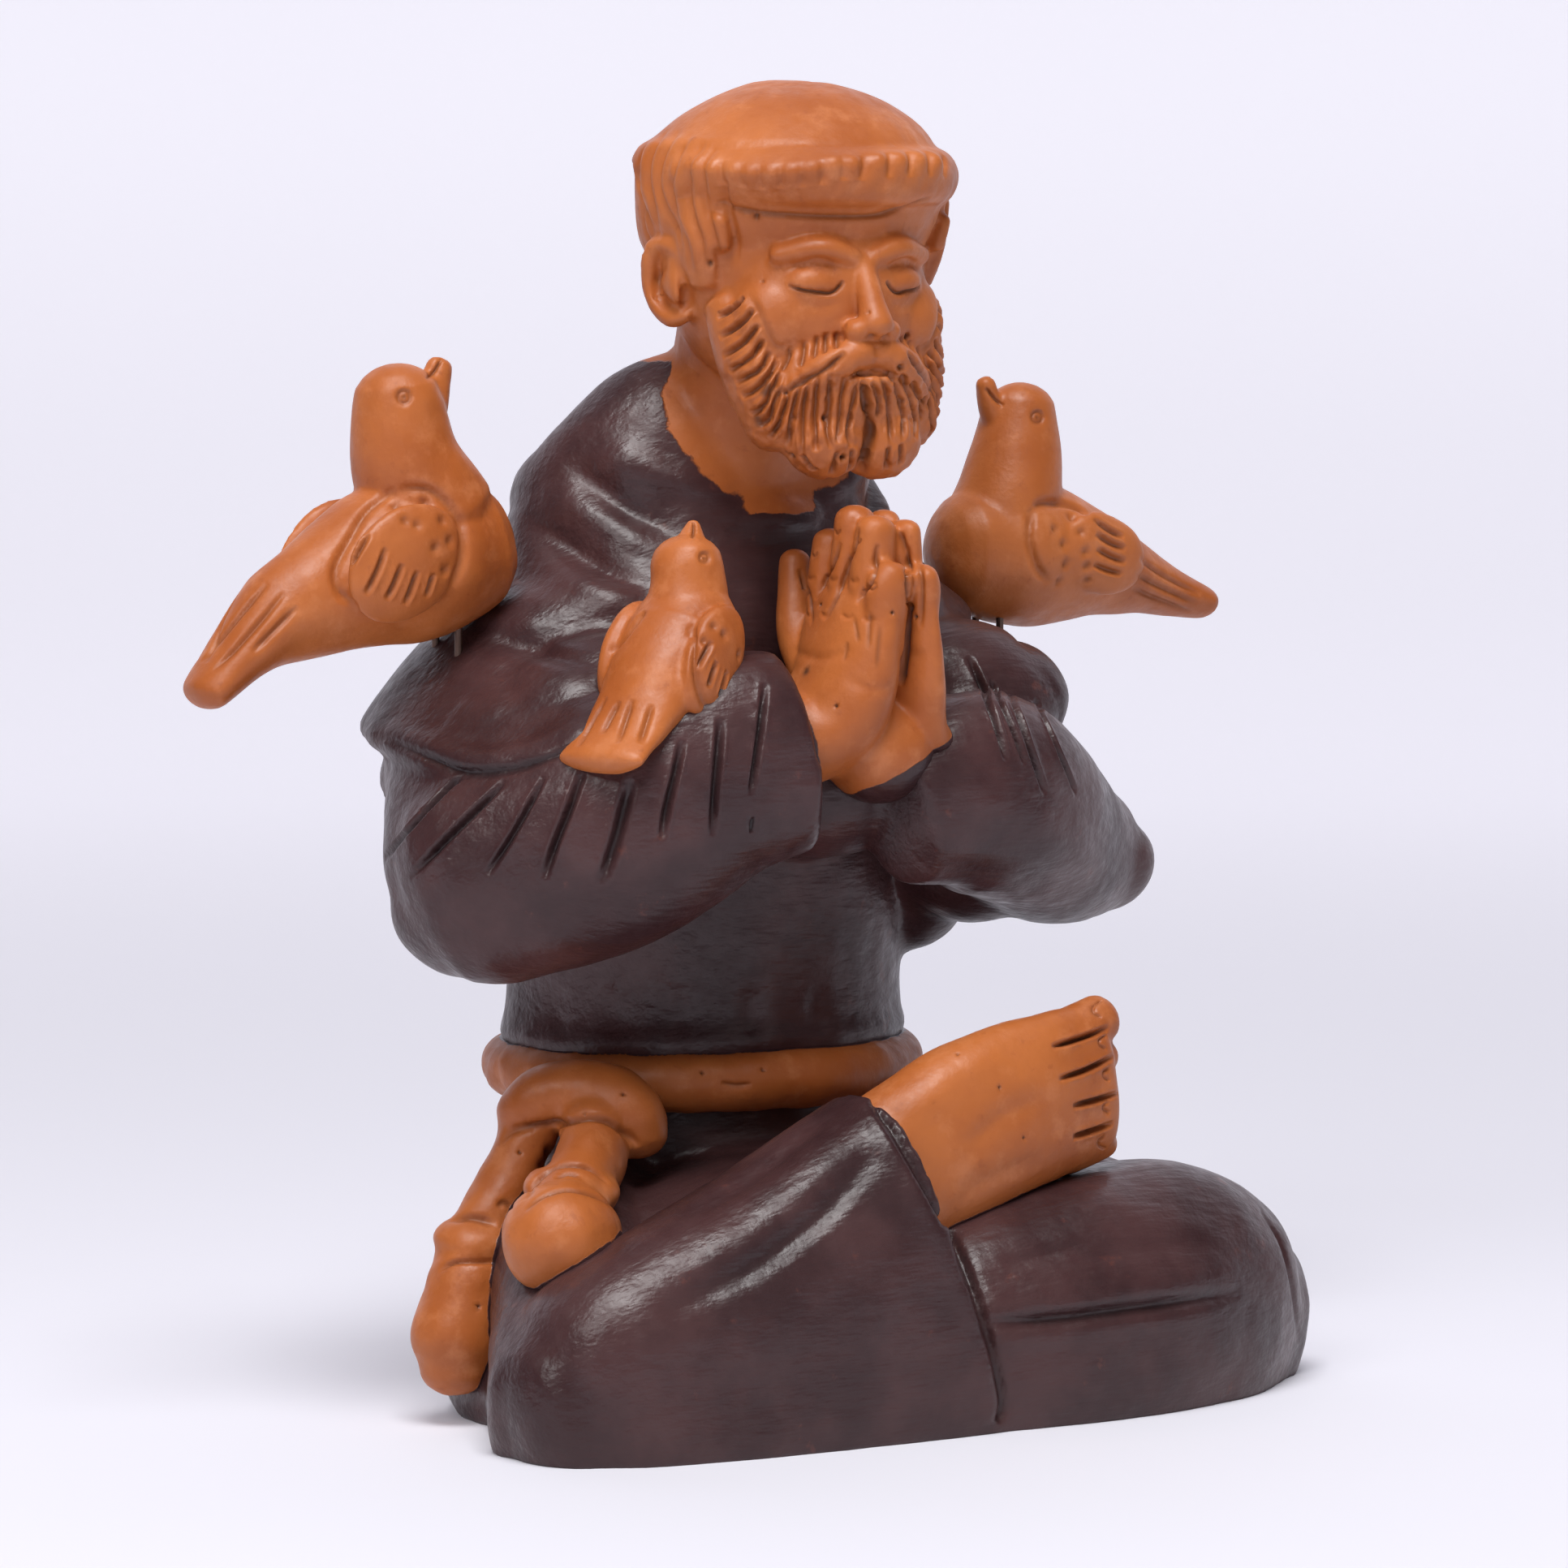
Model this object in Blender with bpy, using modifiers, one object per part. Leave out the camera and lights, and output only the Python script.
"""Seated friar in fired clay with three small birds, one on each shoulder and one on the right forearm.

The figure is one fired piece: habit, head, hands, foot and the rope luted on. Each bird is a
separate piece that stands on two wire legs, and the wires sit in holes in the bird and in the figure.
Sizes are in millimetres. The origin is the middle of the underside, +Z is up and the friar faces -Y.
"""

import math

import bmesh
import bpy
import numpy as np
from mathutils import Matrix, Vector

MM = 0.001

# Overall sizes of the figure: top of the hair, from the seat's back to the shin's front, across the
# elbows, across the cape and across the knees
HEIGHT = 218.0
DEPTH = 117.0
ELBOW_SPAN = 152.0
CAPE_SPAN = 136.0
BASE_SPAN = 174.0

# The rows of the forms are drawn at this height and depth, and are stretched to HEIGHT and DEPTH
DRAWN_HEIGHT = 218.0
DRAWN_DEPTH = 117.0
RISE = HEIGHT / DRAWN_HEIGHT
REACH = DEPTH / DRAWN_DEPTH

# Wire legs and their holes
WIRE = 1.3
CLEARANCE = 0.3
WIRE_IN_BIRD = 5.0
WIRE_IN_FIGURE = 7.0
LEG_SPREAD = 7.0

# How finely the forms are merged, and how many triangles each piece keeps
FIGURE_GRAIN = 1.5
BIRD_GRAIN = 0.8
FIGURE_TRIANGLES = 7300
BIRD_TRIANGLES = 720

UP = Vector((0.0, 0.0, 1.0))
BACK = Vector((0.0, 1.0, 0.0))
SIDES = 28


# Blends the rows of numbers smoothly, with this many steps from one row to the next
def spline(rows, steps=5):
    rows = np.array(rows, float)
    first = 2 * rows[0] - rows[1]
    last = 2 * rows[-1] - rows[-2]
    padded = np.vstack([first, rows, last])
    out = []
    for i in range(len(rows) - 1):
        p0, p1, p2, p3 = padded[i:i + 4]
        for k in range(steps):
            t = k / steps
            a = 2 * p1 + (p2 - p0) * t
            b = (2 * p0 - 5 * p1 + 4 * p2 - p3) * t ** 2
            c = (3 * p1 - p0 - 3 * p2 + p3) * t ** 3
            out.append((a + b + c) / 2)
    out.append(rows[-1])
    return np.array(out)


# A closed form along a path. Each row is x, y, z, half the width and half the depth
def limb(form, rows, up=UP, square=2.0, blunt=(0.8, 0.8), steps=5):
    path = spline(rows, steps)
    centres = [Vector(row[:3]) for row in path]
    tangents = []
    for i in range(len(path)):
        ahead = centres[min(i + 1, len(path) - 1)]
        behind = centres[max(i - 1, 0)]
        tangents.append((ahead - behind).normalized())
    rings = []
    for k in (0.985, 0.9, 0.72, 0.42):
        lean = tangents[0] * (-k * blunt[0] * min(path[0][3:5]))
        rings.append((centres[0] + lean, tangents[0], path[0][3:5] * math.sqrt(1 - k * k)))
    if not blunt[0]:
        rings = []
    for centre, tangent, row in zip(centres, tangents, path):
        rings.append((centre, tangent, row[3:5]))
    if blunt[1]:
        for k in (0.42, 0.72, 0.9, 0.985):
            lean = tangents[-1] * (k * blunt[1] * min(path[-1][3:5]))
            rings.append((centres[-1] + lean, tangents[-1], path[-1][3:5] * math.sqrt(1 - k * k)))
    loops = []
    for centre, tangent, half in rings:
        side = tangent.cross(up).normalized()
        rise = side.cross(tangent).normalized()
        loop = []
        for j in range(SIDES):
            angle = 2 * math.pi * j / SIDES
            c = math.cos(angle)
            s = math.sin(angle)
            across = math.copysign(abs(c) ** (2 / square), c) * half[0]
            upward = math.copysign(abs(s) ** (2 / square), s) * half[1]
            loop.append(form.verts.new(centre + side * across + rise * upward))
        loops.append(loop)
    for one, two in zip(loops, loops[1:]):
        for j in range(SIDES):
            k = (j + 1) % SIDES
            form.faces.new((one[j], one[k], two[k], two[j]))
    form.faces.new(list(reversed(loops[0])))
    form.faces.new(loops[-1])


# A ball drawn out to three half sizes, turned about Z by some degrees and tipped about X first
def ball(form, centre, halves, turn=0.0, tip=0.0):
    made = bmesh.ops.create_uvsphere(form, u_segments=24, v_segments=16, radius=1.0)
    for vert in made["verts"]:
        p = Vector((vert.co.x * halves[0], vert.co.y * halves[1], vert.co.z * halves[2]))
        c = math.cos(math.radians(tip))
        s = math.sin(math.radians(tip))
        p = Vector((p.x, p.y * c - p.z * s, p.y * s + p.z * c))
        c = math.cos(math.radians(turn))
        s = math.sin(math.radians(turn))
        vert.co = Vector((p.x * c - p.y * s, p.x * s + p.y * c, p.z)) + Vector(centre)


# Rows with the side turned over, for the left limb of a pair
def left(rows):
    return [(-row[0],) + tuple(row[1:]) for row in rows]


# A closed spread of cloth from an oval at the top to a rim that is a closed list of points
def spread(form, centre, halves, rim, bulge, rings=8):
    count = 64
    rim = spline(list(rim) + [rim[0]], 10)
    lengths = np.concatenate([[0], np.cumsum(np.linalg.norm(np.diff(rim, axis=0), axis=1))])
    loops = []
    for i in range(rings + 1):
        u = i / rings
        loop = []
        for j in range(count):
            at = lengths[-1] * j / count
            low = np.array([np.interp(at, lengths, rim[:, k]) for k in range(3)])
            angle = math.atan2((low[1] - centre[1]) / halves[1], (low[0] - centre[0]) / halves[0])
            outward = np.array([math.cos(angle), math.sin(angle), 0.0])
            top = np.array(centre) + outward * np.array([halves[0], halves[1], 0])
            point = top + (low - top) * u + outward * bulge * math.sin(math.pi * u)
            loop.append(form.verts.new(point))
        loops.append(loop)
    for inset, drop in ((0.99, -2.4), (0.93, -3.0)):
        loop = []
        for vert in loops[rings]:
            p = vert.co
            loop.append(form.verts.new((p.x * inset, centre[1] + (p.y - centre[1]) * inset, p.z + drop)))
        loops.append(loop)
    for one, two in zip(loops, loops[1:]):
        for j in range(count):
            k = (j + 1) % count
            form.faces.new((one[j], one[k], two[k], two[j]))
    form.faces.new(list(reversed(loops[0])))
    form.faces.new(loops[-1])


# Trunk, cowl and cape of the habit
def build_trunk(form):
    core = [(0, 1, 34, 33, 28), (0, 0, 48, 32, 27), (0, 0, 62, 32, 27)]
    limb(form, core, up=BACK, blunt=(0.2, 0.2))
    trunk = [
        (0, 0, 58.5, 35.8, 31.2),
        (0, 0, 62, 35, 30.6),
        (0, -0.5, 70, 34.6, 30),
        (0, -1, 80, 36, 30.2),
        (0, -1, 95, 39, 31),
        (0, 0, 112, 43, 30),
        (0, 2, 130, 38, 25),
        (0, 3, 146, 34, 23),
    ]
    limb(form, trunk, up=BACK, blunt=(0.03, 0.4))
    limb(form, cape_rows(), up=BACK, blunt=(0.05, 0.2), steps=4)
    half = CAPE_SPAN / 2
    spread(form, (0, -1, 126), (half * 0.77, 29), mantle_rim(), 0.6)


def cape_rows():
    half = CAPE_SPAN / 2
    return [
        (0, -1, 122, half * 0.735, 28),
        (0, -1, 126, half * 0.77, 29),
        (0, 1, 136, half * 0.59, 27.5),
        (0, 2, 146, half * 0.515, 25.5),
        (0, 2, 155, 31, 23.5),
        (0, 4, 161, 26, 20.5),
        (0, 7, 165, 18, 15.5),
    ]


# The cape's lower edge, which hangs over both sleeves. Each place across is a share of half the cape
def mantle_rim():
    half = CAPE_SPAN / 2
    edge = [
        (0, 31, 107),
        (-0.41, 30, 108),
        (-0.70, 23.5, 110),
        (-0.88, 12.5, 112),
        (-0.965, 1.5, 111.5),
        (-0.997, -13, 109.5),
        (-0.968, -27, 107.5),
        (-0.897, -36, 108.5),
        (-0.831, -42.5, 111),
        (-0.691, -43.5, 116),
        (-0.515, -37, 121.5),
        (-0.294, -28, 126),
        (0, -27, 127),
        (0.294, -28, 126),
        (0.515, -35, 121.5),
        (0.691, -40, 115.5),
        (0.838, -38, 110.5),
        (0.934, -31, 108.5),
        (0.985, -20, 109),
        (1.0, -6, 111),
        (1.0, 4, 111.5),
        (0.94, 14, 112),
        (0.735, 25, 110),
        (0.41, 30, 108),
    ]
    return [(share * half, y, z) for share, y, z in edge]


# The row of the cape at a height
def cape_row(height):
    rows = spline(cape_rows(), 8)
    return rows[np.argmin(abs(rows[:, 2] - height))]


# One sleeve, from the shoulder round the elbow to the cuff
def sleeve_rows(drop, reach):
    elbow = ELBOW_SPAN / 2 - 18.5
    upper = [
        (-44.5, 2, 111, 17, 14),
        (-47.5, -8, 106, 17.8, 18.5),
        (-elbow + 1, -20, 94 - drop, 18, 18.5),
    ]
    lower = [
        (-elbow, -21, 92 - drop, 17.5, 18.5),
        (-44, -36, 98 - drop / 2, 16.5, 19.5),
        (-29, -44, 106, 14, 18.5),
        (reach, -47.5, 109, 12, 16.5),
    ]
    return upper, lower


def build_sleeves(form):
    for side, drop, reach in ((-1, 3.0, -15.5), (1, 0.0, -9.5)):
        upper, lower = sleeve_rows(drop, reach)
        a = left(upper) if side > 0 else upper
        b = left(lower) if side > 0 else lower
        limb(form, a, up=BACK)
        limb(form, b, square=2.3, blunt=(0.8, 0.12))
        ball(form, (side * 34, -24, 112), (20, 16, 16))
        ball(form, (side * 32, -10, 90), (17, 17, 15))
    ball(form, (18.5 - ELBOW_SPAN / 2 - 0.5, -19, 83.5), (14.5, 14.5, 11.5))
    ball(form, (-CAPE_SPAN / 2 + 17.5, -1, 103.5), (15, 14, 9.5))
    ball(form, (CAPE_SPAN / 2 - 17, -1, 103.5), (15, 14, 9.5))
    ball(form, (7, -50, 98.5), (6.5, 5, 4.5))
    ball(form, (-2, -37, 102), (17, 13, 12))


# Thighs, shins and seat under the skirt of the habit
def build_legs(form):
    knee = BASE_SPAN / 2
    ball(form, (0, 3, 20), (37, 33, 30))
    ball(form, (-4, -30, 18), (46, 26, 24))
    right_thigh = [
        (-22, -2, 24, 15, 20),
        (-43, -26, 20, 13, 20),
        (-57, -44, 10, 12, 17),
        (21 - knee, -52, 5, 9, 14),
    ]
    left_thigh = [
        (24, -2, 24, 18, 20),
        (46, -22, 20, 18, 20),
        (66, -40, 12, 16, 20),
    ]
    limb(form, right_thigh, square=2.4)
    ball(form, (-50, -26, 6), (12.5, 20, 14))
    limb(form, left_thigh, square=2.4)
    limb(form, right_shin_rows(), square=2.5, blunt=(0.7, 0.03))
    limb(form, left_shin_rows(), square=2.3)


def right_shin_rows():
    knee = BASE_SPAN / 2
    return [
        (22 - knee, -56, 4, 12, 17),
        (-58, -57, 6.5, 15.5, 23),
        (-47, -58, 9, 17, 26),
        (-34, -59, 11.5, 18, 29),
        (-17, -60, 14.5, 18.5, 34),
        (0, -61, 19.5, 18.5, 36.5),
    ]


def left_shin_rows():
    knee = BASE_SPAN / 2
    return [
        (6, -58, 10, 21, 23),
        (30, -60, 12, 21.5, 26),
        (50, -58, 12, 20, 26.5),
        (64.5, -54, 10, 17.5, 23.8),
        (knee - 12, -51, 7, 13, 18),
    ]


# Neck, skull, jaw and the mass of the face
def build_head(form):
    neck = [
        (0, -4, 150, 19, 17),
        (0, -9, 158, 15.5, 15),
        (0, -14, 170, 14, 14),
        (0, -20, 184, 15, 15),
    ]
    limb(form, neck, up=BACK)
    ball(form, (0, -27, 190), (22.5, 24, 25), tip=-18)
    ball(form, (0, -36, 180), (18.5, 15.5, 20), tip=12)


# The ring of hair round the bald crown, its fringe and the hair down the sides
def build_hair(form):
    rim = [
        (0, -22.5, 184, 23.6, 20),
        (0, -24, 192, 25.3, 24),
        (0, -25.5, 198, 26.3, 26.6),
        (0, -26.5, 203, 26.2, 27),
        (0, -26.2, 206.6, 23.8, 23.8),
        (0, -26, 211, 18.4, 18),
        (0, -25.5, 215, 11, 11),
        (0, -25.5, 217, 4, 4),
    ]
    limb(form, rim, up=BACK, blunt=(0.02, 0.1), steps=4)
    fringe = []
    for k in range(11):
        angle = math.radians(14 * (k - 5))
        fringe.append((23 * math.sin(angle), -26.5 - 23.6 * math.cos(angle), 199, 4.2, 4.6))
    limb(form, fringe, steps=2)
    for side in (-1, 1):
        lock = [
            (side * 21, -31, 200, 5.5, 3.5),
            (side * 20.5, -33, 190, 5.5, 3),
            (side * 19, -35, 180, 3.5, 2.2),
        ]
        limb(form, lock, up=Vector((1, 0, 0)))


# Full beard in one mass, with the moustache over it
def build_beard(form):
    ball(form, (0, -42, 166.5), (15.5, 10.5, 13.5), tip=18)
    ball(form, (-4.5, -45, 159.5), (7.5, 7, 7), tip=10)
    ball(form, (4.5, -45, 159.5), (7.5, 7, 7), tip=10)
    for side in (-1, 1):
        jaw = [
            (side * 17.5, -32, 178, 4.5, 3.6),
            (side * 15.8, -37, 170, 4.5, 4.2),
            (side * 11, -42, 163, 5, 5.5),
        ]
        limb(form, jaw, up=Vector((1, 0, 0)))
        moustache = [
            (side * 1, -52, 173.2, 2.2, 2.4),
            (side * 6, -51, 172, 2.2, 2.8),
            (side * 11, -46.5, 168.5, 2, 2.2),
        ]
        limb(form, moustache)


def build_face(form):
    nose = [
        (0, -49.5, 185, 1.8, 1.6),
        (0, -52, 180, 2.3, 2.2),
        (0, -54, 176.6, 3.1, 2.6),
    ]
    limb(form, nose, up=BACK)
    for side in (-1, 1):
        ball(form, (side * 22.8, -23.2, 184), (2.4, 4.8, 7.4), turn=side * 14)
        ball(form, (side * 7.6, -47.6, 182.6), (4.3, 3, 2.6))
        ball(form, (side * 10.5, -42.5, 177), (8, 6.2, 7))
        brow = [
            (side * 1.5, -50, 187.6, 1.7, 1.5),
            (side * 7, -49.3, 188.6, 1.8, 1.5),
            (side * 13.5, -45, 187, 1.5, 1.2),
        ]
        limb(form, brow)


# Hands pressed palm to palm with the fingers up
def build_hands(form):
    fingers = [
        (-43.0, 145.4, 3.0),
        (-49.2, 149.3, 3.2),
        (-55.0, 148.0, 3.2),
        (-59.8, 140.6, 3.0),
    ]
    for side in (-1, 1):
        wrist = [
            (side * 17, -46, 110, 8, 9),
            (side * 10, -48.5, 113, 8, 10.5),
            (side * 7, -50.5, 119, 7, 11.3),
            (side * 5.6, -50.8, 127, 5.4, 11.8),
            (side * 4.8, -51, 133, 4, 11.5),
        ]
        limb(form, wrist, up=BACK)
        for y, top, r in fingers:
            finger = [
                (side * 4.8, y * 0.9 - 4.8, 126, 3.6, r),
                (side * 4.3, y * 0.97 - 1.4, 135, 3.9, r + 0.2),
                (side * 3.6, y, top - r, 3.5, r),
            ]
            limb(form, finger, up=BACK)
        thumb = [
            (side * 6, -42, 120, 4.2, 4.2),
            (side * 6, -36.5, 127, 3.3, 3.3),
            (side * 5, -34.2, 134, 2.8, 2.8),
            (side * 4.2, -33.2, 139, 2.6, 2.6),
        ]
        limb(form, thumb)


def build_foot(form):
    sole = [
        (-8, -57, 36, 9, 14),
        (10, -60, 46.3, 8, 14.5),
        (24, -61, 50.8, 6.6, 14),
        (36, -60.5, 53, 5.4, 12.8),
    ]
    limb(form, sole, square=2.3)
    toes = [(63.2, 4.2), (57.0, 3.0), (51.9, 2.8), (47.2, 2.7), (42.6, 2.6)]
    for z, r in toes:
        limb(form, [(31, -60.5, z - 2.2, r, r), (42 - r, -60.2, z, r, r)])


# Rope: the coil round the waist, the bend over it and the two ends with their knots
def build_rope(form):
    waist = []
    for k in range(17):
        angle = math.radians(360 * k / 16)
        waist.append((34.2 * math.cos(angle), 30.2 * math.sin(angle), 52.5, 5.2, 5.2))
    limb(form, waist, blunt=(0.1, 0.1), steps=3)
    bend = [
        (-48.3, -12, 44, 5, 5),
        (-47.6, -13.4, 49, 5.1, 5.2),
        (-45.4, -16, 53.2, 5.3, 5.4),
        (-40.3, -20, 55.3, 5.4, 5.4),
        (-34.7, -26, 55.3, 5.6, 5.4),
        (-31.2, -30, 52, 5.6, 5.4),
        (-30.6, -31.5, 47, 5.2, 5),
    ]
    limb(form, bend, up=Vector((-0.8, -0.6, 0.2)))
    outer = [
        (-46, -17, 46.5, 5.2, 5.2),
        (-49, -17.6, 39, 5.8, 5.8),
        (-54.5, -18.6, 33, 5.8, 5.8),
        (-59, -19.6, 28.6, 5.2, 5.2),
        (-61, -20, 22, 6.5, 6.5),
    ]
    limb(form, outer, up=BACK)
    ball(form, (-59, -20, 29), (7.6, 7, 5.2), tip=10)
    end = [
        (-60.4, -20, 20.5, 7.6, 7.6),
        (-61.6, -20, 14, 9.7, 9),
        (-62.6, -20, 9, 8, 7.6),
    ]
    limb(form, end, up=BACK)
    inner = [
        (-40.5, -27, 47.5, 6.8, 6),
        (-43.5, -31.5, 42.5, 7.2, 6.2),
        (-49, -36, 39.8, 7, 5.6),
        (-56, -43, 35, 7.5, 7),
    ]
    limb(form, inner, up=BACK)
    ball(form, (-49.6, -36, 40), (9.6, 8.4, 4.5), tip=12)
    ball(form, (-58.6, -45.6, 32.4), (11, 10, 9.2), turn=35)


# Where a bird stands. Its place across is a share of half the cape
def feet_of(bird):
    share, y, z = bird["feet"]
    return Vector((share * CAPE_SPAN / 2, y * REACH, z))


# A bird in its own frame: the beak points to +X and the feet stand at the origin
def build_bird(form, bird):
    limb(form, bird["body"])
    limb(form, bird["neck"], up=BACK)
    limb(form, bird["beak"], up=BACK)
    x, y, z, length, height, lean = bird["wing"]
    c = math.cos(math.radians(lean))
    s = math.sin(math.radians(lean))
    for side in (-1, 1):
        before = set(form.verts)
        ball(form, (0, 0, 0), (length, 2.8, height))
        for vert in set(form.verts) - before:
            p = vert.co
            vert.co = Vector((p.x * c - p.z * s + x, p.y + side * y, p.x * s + p.z * c + z))
    turn = math.radians(bird["heading"])
    for vert in form.verts:
        p = vert.co
        x = p.x * math.cos(turn) - p.y * math.sin(turn)
        y = p.x * math.sin(turn) + p.y * math.cos(turn)
        vert.co = Vector((x, y, p.z)) + feet_of(bird)
        vert.co.z *= RISE


# Merges overlapping forms into one skin and smooths it
def merged(name, form, grain, rounds):
    mesh = bpy.data.meshes.new(name)
    form.to_mesh(mesh)
    form.free()
    rough = bpy.data.objects.new(name + "_rough", mesh)
    bpy.context.scene.collection.objects.link(rough)
    remesh = rough.modifiers.new("skin", "REMESH")
    remesh.mode = "VOXEL"
    remesh.voxel_size = grain
    smooth = rough.modifiers.new("smooth", "SMOOTH")
    smooth.iterations = rounds
    smooth.factor = 0.5
    graph = bpy.context.evaluated_depsgraph_get()
    skin = bpy.data.meshes.new_from_object(rough.evaluated_get(graph))
    bpy.data.objects.remove(rough)
    outer_skin(skin)
    return skin


def build_figure_form():
    form = bmesh.new()
    build_trunk(form)
    build_sleeves(form)
    build_legs(form)
    build_head(form)
    build_hair(form)
    build_beard(form)
    build_face(form)
    build_hands(form)
    build_foot(form)
    build_rope(form)
    for vert in form.verts:
        vert.co.y *= REACH
        vert.co.z *= RISE
    build_bird_on(form, ARM_BIRD)
    return form


# Adds a bird to a form that already holds others
def build_bird_on(form, bird):
    own = bmesh.new()
    build_bird(own, bird)
    mesh = bpy.data.meshes.new("bird")
    own.to_mesh(mesh)
    own.free()
    form.from_mesh(mesh)


# The birds, each with its own body, neck and beak rows. The wing is its place, half sizes and lean
RIGHT_BIRD = {
    "feet": (-0.783, -4.0, 124.2),
    "heading": 0.0,
    "body": [
        (-45.5, 0, -4.6, 6, 3.2),
        (-39, 0, 1.6, 6.6, 5),
        (-32, 0, 6.6, 7.6, 8),
        (-22, 0, 10.8, 9.6, 10.6),
        (-12, 0, 14.4, 11.6, 13.2),
        (-4, 0, 15.8, 12.3, 13.3),
        (2.4, 0, 16.6, 10.2, 11.2),
    ],
    "neck": [(-4.5, 0, 22, 10.8, 10.8), (-8.3, 0, 31, 8.9, 8.9), (-9.6, 0, 39.2, 7.3, 7.2)],
    "beak": [(-5.5, 0, 35, 2.8, 3), (-2.4, 0, 41, 2.2, 2.4), (-1, 0, 45.8, 1.5, 1.7)],
    "wing": (-15, 11.2, 15.5, 11.5, 8.8, 35),
}
LEFT_BIRD = {
    "feet": (0.838, -4.0, 124.0),
    "heading": 180.0,
    "body": [
        (-46, 0, 3.2, 5.6, 2.5),
        (-38, 0, 5.4, 6.2, 4.2),
        (-30, 0, 8, 7.2, 6.2),
        (-21, 0, 10.6, 9.2, 9.4),
        (-11, 0, 12.8, 11.2, 12),
        (-3, 0, 13.8, 12, 12.6),
        (3, 0, 14.2, 10.2, 10.8),
    ],
    "neck": [(-3.5, 0, 19, 10, 10), (-5.8, 0, 28, 8.2, 8.2), (-6.6, 0, 36.6, 6.2, 6)],
    "beak": [(-3, 0, 33.5, 2.6, 2.6), (-0.4, 0, 38, 2, 2.1), (0.8, 0, 41.8, 1.4, 1.5)],
    "wing": (-17, 9.8, 13.5, 9.6, 7, 15),
}
ARM_BIRD = {
    "feet": (-0.5, -42.5, 115.0),
    "heading": 20.0,
    "body": [
        (-20.4, 0, -5.6, 8.3, 2.3),
        (-15, 0, -2, 7.8, 3.2),
        (-9.5, 0, 2.6, 7.5, 5),
        (-4, 0, 7.5, 8.2, 7.2),
        (1, 0, 11.5, 8.8, 8.6),
        (3.6, 0, 15.5, 8, 8),
    ],
    "neck": [(3, 0, 15.5, 7.6, 7.4), (3.8, 0.4, 20.5, 6.1, 6), (4.4, 0.8, 24.4, 6.5, 6.4)],
    "beak": [(5, 1, 26, 3, 3), (6, 1.2, 29, 2.1, 2), (6.5, 1.3, 30.6, 1.2, 1.2)],
    "wing": (-1.5, 8.4, 9.5, 10, 6.6, 55),
}


# Drops any skin that encloses a pocket inside the body
def outer_skin(skin):
    form = bmesh.new()
    form.from_mesh(skin)
    left_over = set(form.verts)
    islands = []
    while left_over:
        seed = left_over.pop()
        island = [seed]
        waiting = [seed]
        while waiting:
            for edge in waiting.pop().link_edges:
                for vert in edge.verts:
                    if vert in left_over:
                        left_over.remove(vert)
                        island.append(vert)
                        waiting.append(vert)
        islands.append(island)
    islands.sort(key=len)
    for island in islands[:-1]:
        bmesh.ops.delete(form, geom=island, context="VERTS")
    form.to_mesh(skin)
    form.free()


# A point on the skin of a limb, at a share of its length and an angle round it
def on_limb(rows, share, angle, up=UP, square=2.0):
    path = spline(rows, 8)
    i = share * (len(path) - 1)
    low = min(int(i), len(path) - 2)
    row = path[low] + (path[low + 1] - path[low]) * (i - low)
    tangent = Vector(path[low + 1][:3] - path[low][:3]).normalized()
    side = tangent.cross(up).normalized()
    rise = side.cross(tangent).normalized()
    c = math.cos(math.radians(angle))
    s = math.sin(math.radians(angle))
    across = math.copysign(abs(c) ** (2 / square), c) * row[3]
    upward = math.copysign(abs(s) ** (2 / square), s) * row[4]
    return Vector(row[:3]) + side * across + rise * upward


# Presses a stroke into a skin, or raises it where the depth is negative, fading out at both ends
def carve(skin, path, width, depth):
    count = len(skin.vertices)
    points = np.empty(count * 3)
    skin.vertices.foreach_get("co", points)
    points = points.reshape(-1, 3)
    normals = np.empty(count * 3)
    skin.vertices.foreach_get("normal", normals)
    normals = normals.reshape(-1, 3)
    path = np.array([(p[0], p[1] * REACH, p[2] * RISE) for p in path])
    reach = 3 * width
    near = np.all((points > path.min(0) - reach) & (points < path.max(0) + reach), axis=1)
    chosen = points[near]
    best = np.full(len(chosen), 1e9)
    along = np.zeros(len(chosen))
    for k in range(len(path) - 1):
        step = path[k + 1] - path[k]
        t = np.clip((chosen - path[k]) @ step / (step @ step), 0, 1)
        gap = np.linalg.norm(chosen - path[k] - t[:, None] * step, axis=1)
        closer = gap < best
        best[closer] = gap[closer]
        along[closer] = (k + t[closer]) / (len(path) - 1)
    fade = np.minimum(1, 4 * np.minimum(along, 1 - along) + 0.15)
    sink = depth * fade * np.exp(-(best / width) ** 2)
    points[near] -= normals[near] * sink[:, None]
    skin.vertices.foreach_set("co", points.reshape(-1))
    skin.update()


def flip(path):
    return [Vector((-p[0], p[1], p[2])) for p in path]


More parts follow.
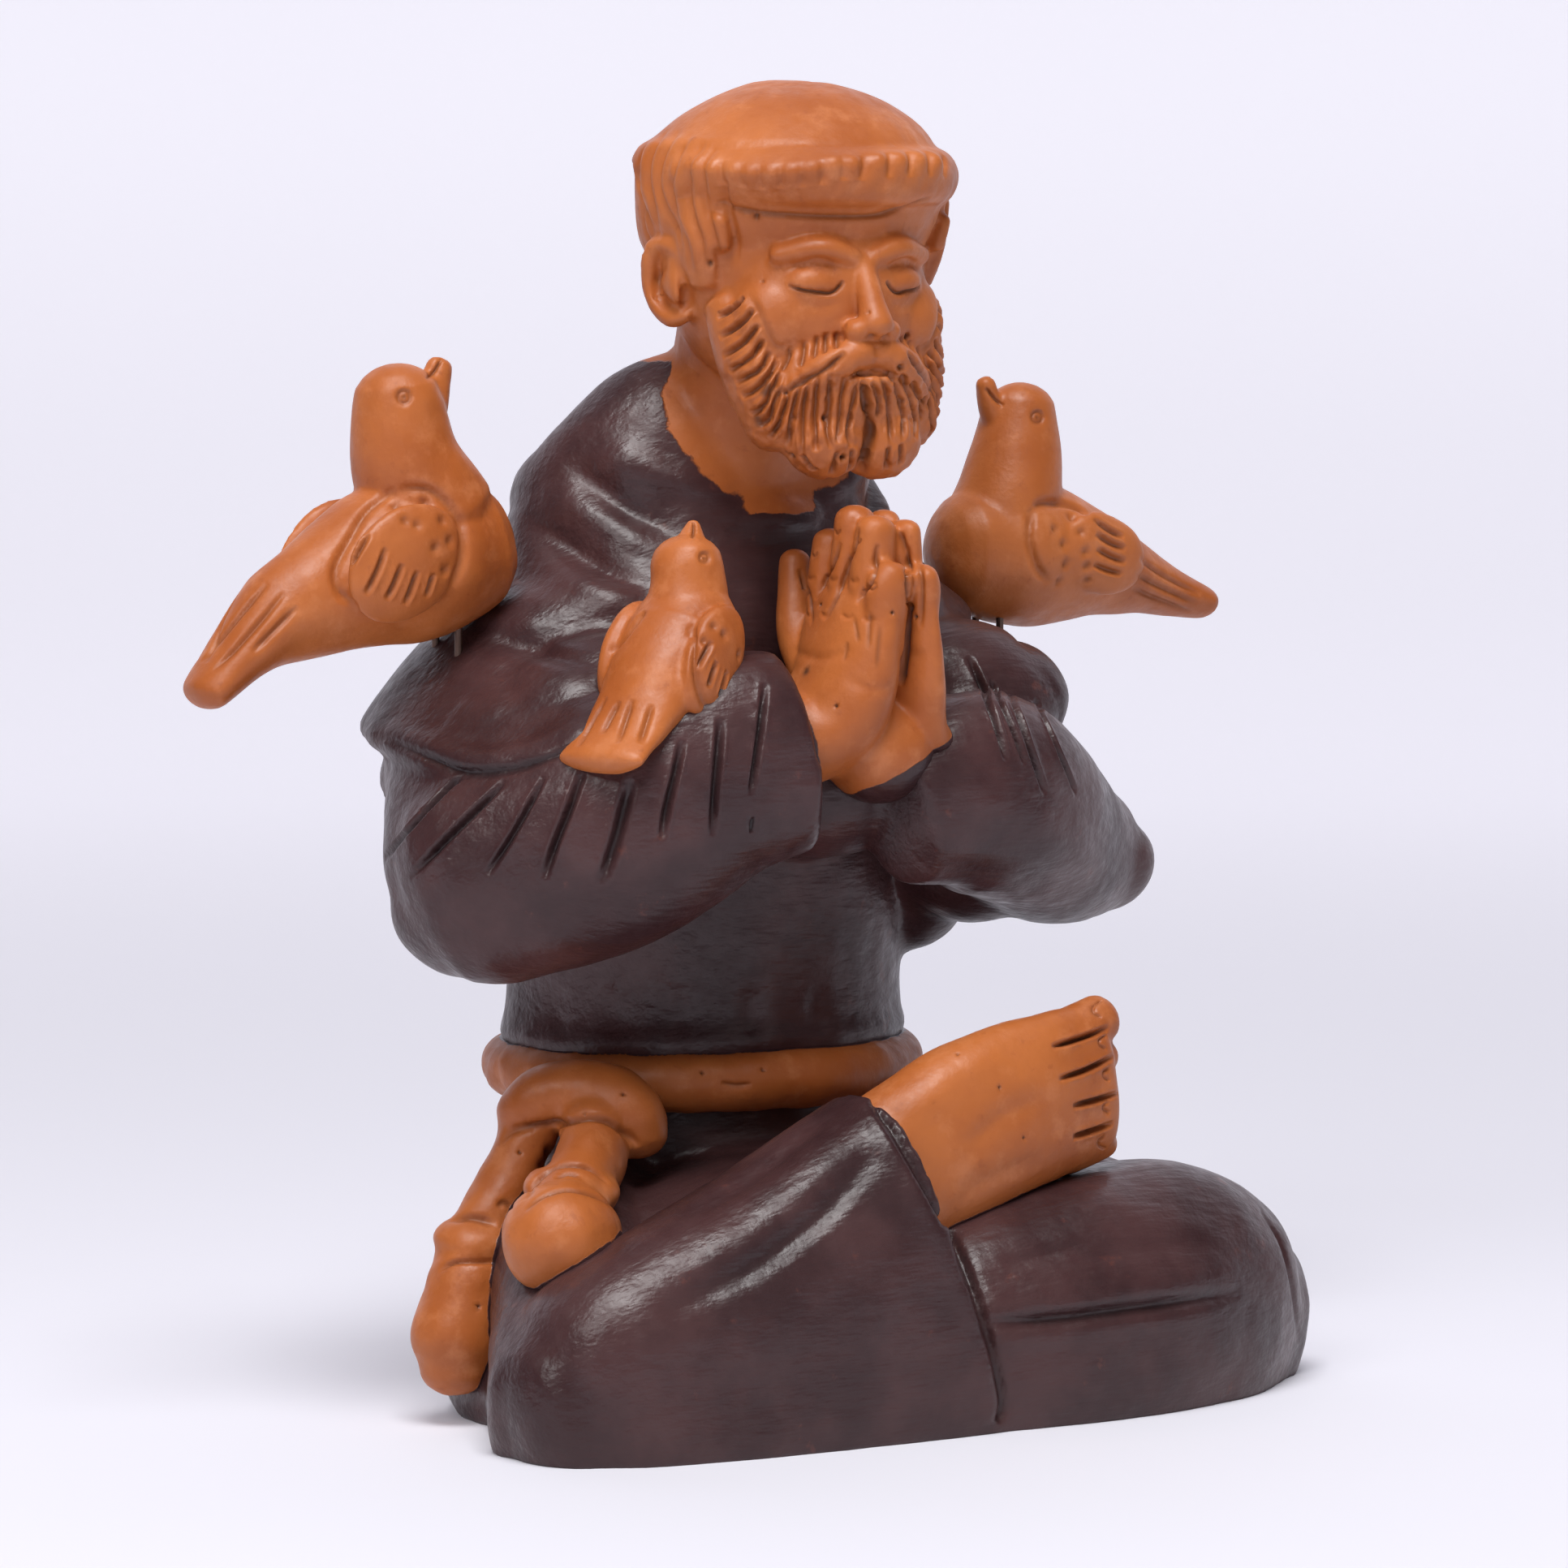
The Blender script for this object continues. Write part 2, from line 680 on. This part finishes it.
# The tool-cut pleats of the sleeves, the swags of the cowl and the folds of the skirt
def carve_figure(skin):
    for side, drop, reach in ((-1, 3.0, -15.5), (1, 0.0, -9.5)):
        upper, lower = sleeve_rows(drop, reach)
        for k in range(7):
            share = 0.08 + 0.125 * k
            path = [on_limb(lower, share - 0.05 * t / 4, 72 - 16 * t, square=2.3) for t in range(5)]
            carve(skin, flip(path) if side > 0 else path, 1.6, 1.5)
    for k, (height, dip) in enumerate([(153.0, 9.0), (143.0, 9.0), (132.0, 7.0)]):
        path = []
        for t in range(19):
            angle = math.radians(-90 + (t - 9) * 15)
            row = cape_row(height - dip * max(0, -math.sin(angle)))
            x = row[0] + row[3] * math.cos(angle)
            y = row[1] + row[4] * math.sin(angle)
            path.append(Vector((x, y, height - dip * max(0, -math.sin(angle)))))
        carve(skin, path, 3.2, 2.2)
    shin = right_shin_rows()
    carve(skin, [on_limb(shin, 0.93 - 0.1 * t, 62 - 9 * t, square=2.5) for t in range(6)], 2.8, 2.4)
    carve(skin, [on_limb(shin, 0.9 - 0.08 * t, 84 - 6 * t, square=2.5) for t in range(5)], 2.4, 1.2)
    shin = left_shin_rows()
    carve(skin, [on_limb(shin, 0.2 + 0.12 * t, 4 + 3 * t, square=2.3) for t in range(6)], 2.2, 1.4)


# A round bar between two points
def bar(name, low, high, radius, sides):
    form = bmesh.new()
    bmesh.ops.create_cone(
        form, cap_ends=True, segments=sides, radius1=radius, radius2=radius, depth=(high - low).length
    )
    bmesh.ops.translate(form, vec=(low + high) / 2, verts=form.verts)
    mesh = bpy.data.meshes.new(name)
    form.to_mesh(mesh)
    form.free()
    return bpy.data.objects.new(name, mesh)


def cut_with(target, cutter, name):
    cut = target.modifiers.new(name, "BOOLEAN")
    cut.object = cutter
    cut.operation = "DIFFERENCE"
    cut.solver = "EXACT"


def paint(obj, name, colour, roughness):
    material = bpy.data.materials.new(name)
    material.use_nodes = True
    shader = material.node_tree.nodes["Principled BSDF"]
    shader.inputs["Base Color"].default_value = (*colour, 1)
    shader.inputs["Roughness"].default_value = roughness
    shader.inputs["Metallic"].default_value = 0.0
    material.diffuse_color = (*colour, 1)
    obj.data.materials.clear()
    obj.data.materials.append(material)


# Keeps about this many triangles of a skin
def thin_out(obj, triangles):
    faces = sum(len(p.vertices) - 2 for p in obj.data.polygons)
    thin = obj.modifiers.new("thin", "DECIMATE")
    thin.ratio = triangles / faces
    thin.use_collapse_triangulate = True


def to_metres(obj):
    obj.data.transform(Matrix.Scale(MM, 4))


def helper_box(size, centre, name):
    form = bmesh.new()
    bmesh.ops.create_cube(form, size=1.0)
    bmesh.ops.scale(form, vec=size, verts=form.verts)
    bmesh.ops.translate(form, vec=centre, verts=form.verts)
    mesh = bpy.data.meshes.new(name)
    form.to_mesh(mesh)
    form.free()
    return bpy.data.objects.new(name, mesh)


def main():
    for obj in list(bpy.data.objects):
        bpy.data.objects.remove(obj)
    scene = bpy.context.scene
    pieces = bpy.data.collections.new("seated_friar")
    scene.collection.children.link(pieces)
    cutters = bpy.data.collections.new("cutters")
    scene.collection.children.link(cutters)

    skin = merged("figure", build_figure_form(), FIGURE_GRAIN, 2)
    carve_figure(skin)
    figure = bpy.data.objects.new("figure", skin)
    pieces.objects.link(figure)
    thin_out(figure, FIGURE_TRIANGLES)
    floor = helper_box((400, 400, 60), (0, 0, -30), "floor_cutter")
    cutters.objects.link(floor)
    cut_with(figure, floor, "underside")

    for name, bird in (("bird_right_shoulder", RIGHT_BIRD), ("bird_left_shoulder", LEFT_BIRD)):
        form = bmesh.new()
        build_bird(form, bird)
        body = bpy.data.objects.new(name, merged(name, form, BIRD_GRAIN, 3))
        pieces.objects.link(body)
        thin_out(body, BIRD_TRIANGLES)
        feet = feet_of(bird)
        feet.z *= RISE
        for k, across in enumerate((-LEG_SPREAD / 2, LEG_SPREAD / 2)):
            low = feet + Vector((0, across, -WIRE_IN_FIGURE))
            high = feet + Vector((0, across, WIRE_IN_BIRD))
            wire = bar(f"{name}_leg_{k + 1}", low, high, WIRE / 2, 12)
            pieces.objects.link(wire)
            slack = Vector((0, 0, CLEARANCE))
            hole = bar(f"{name}_hole_{k + 1}", low - slack, high + slack, WIRE / 2 + CLEARANCE, 12)
            cutters.objects.link(hole)
            cut_with(figure, hole, hole.name)
            cut_with(body, hole, hole.name)

    for obj in list(pieces.objects) + list(cutters.objects):
        to_metres(obj)
    for obj in cutters.objects:
        obj.hide_render = True
        obj.display_type = "WIRE"
    for obj in pieces.objects:
        for face in obj.data.polygons:
            face.use_smooth = True
        if obj.name == "figure":
            paint(obj, "habit_paint", (0.07, 0.036, 0.036), 0.32)
        elif "leg" in obj.name:
            paint(obj, "wire", (0.12, 0.08, 0.06), 0.5)
        else:
            paint(obj, "terracotta", (0.52, 0.17, 0.045), 0.5)


main()
